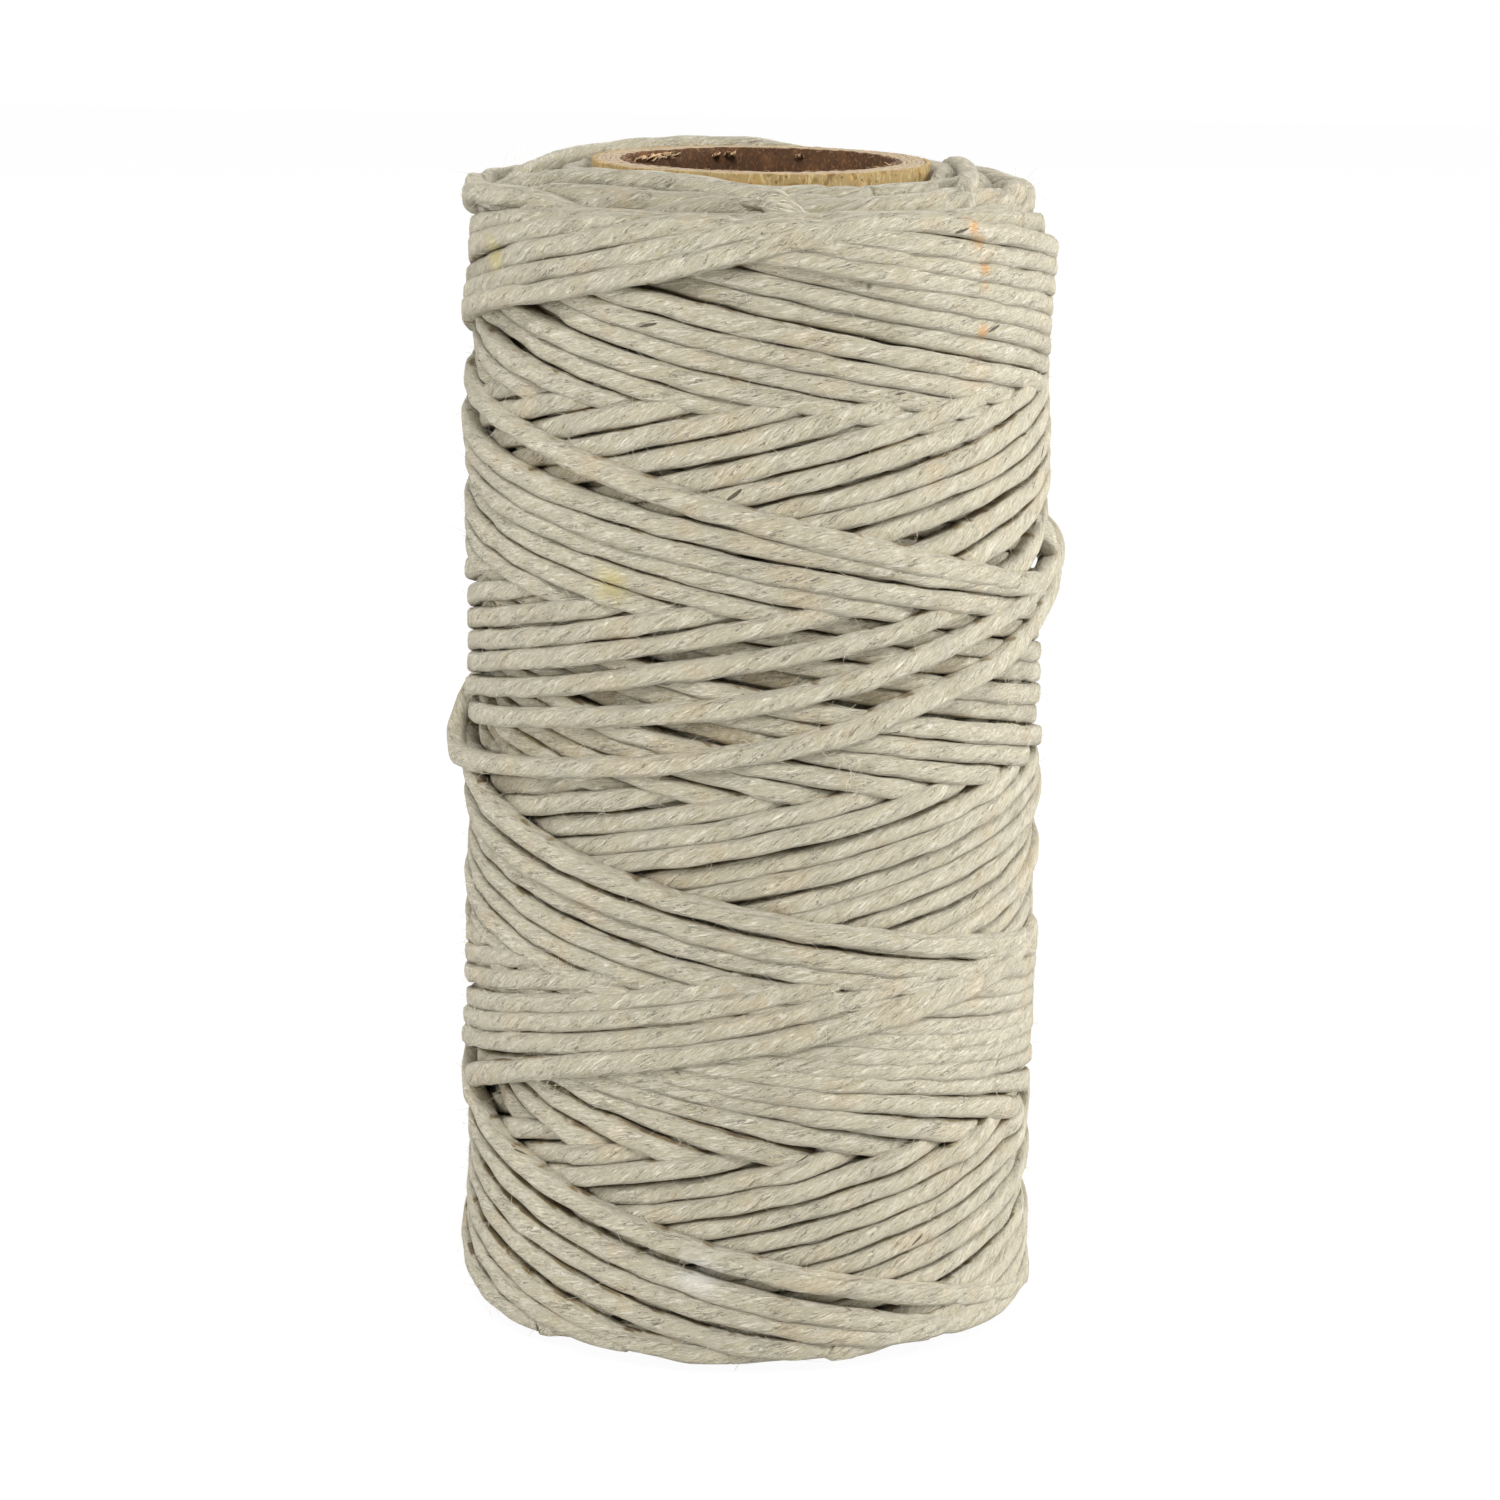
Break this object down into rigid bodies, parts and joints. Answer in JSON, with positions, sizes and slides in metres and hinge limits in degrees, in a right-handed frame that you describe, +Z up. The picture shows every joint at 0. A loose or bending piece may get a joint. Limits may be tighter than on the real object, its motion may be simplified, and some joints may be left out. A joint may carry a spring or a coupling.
{
  "type": "thread spool",
  "caption": "Natural cotton string cross-wound on a thick paper tube with an open bore; stands on the tube's end.",
  "frame": {"origin": "centre of the paper tube's lower end, on the tube's axis", "axes": "+Z up along the tube's axis; -Y faces the viewer and +X is to the right"},
  "size_m": [0.055, 0.055, 0.1095],
  "materials": {
    "liner_paper": "smooth brown paper, matte",
    "core_board": "sawn grey-brown board, matte",
    "kraft_face": "golden kraft paper, matte",
    "cotton_string": "natural cotton string, soft twist, matte, fuzzy"
  },
  "bodies": {
    "root": {"core_liner_ply": "liner_paper", "core_board_ply_1": "core_board", "core_board_ply_2": "core_board", "core_board_ply_3": "core_board", "core_board_ply_4": "core_board", "core_board_ply_5": "core_board", "core_face_ply": "kraft_face", "inner_winding": "cotton_string", "outer_winding": "cotton_string"}
  },
  "joints": []
}
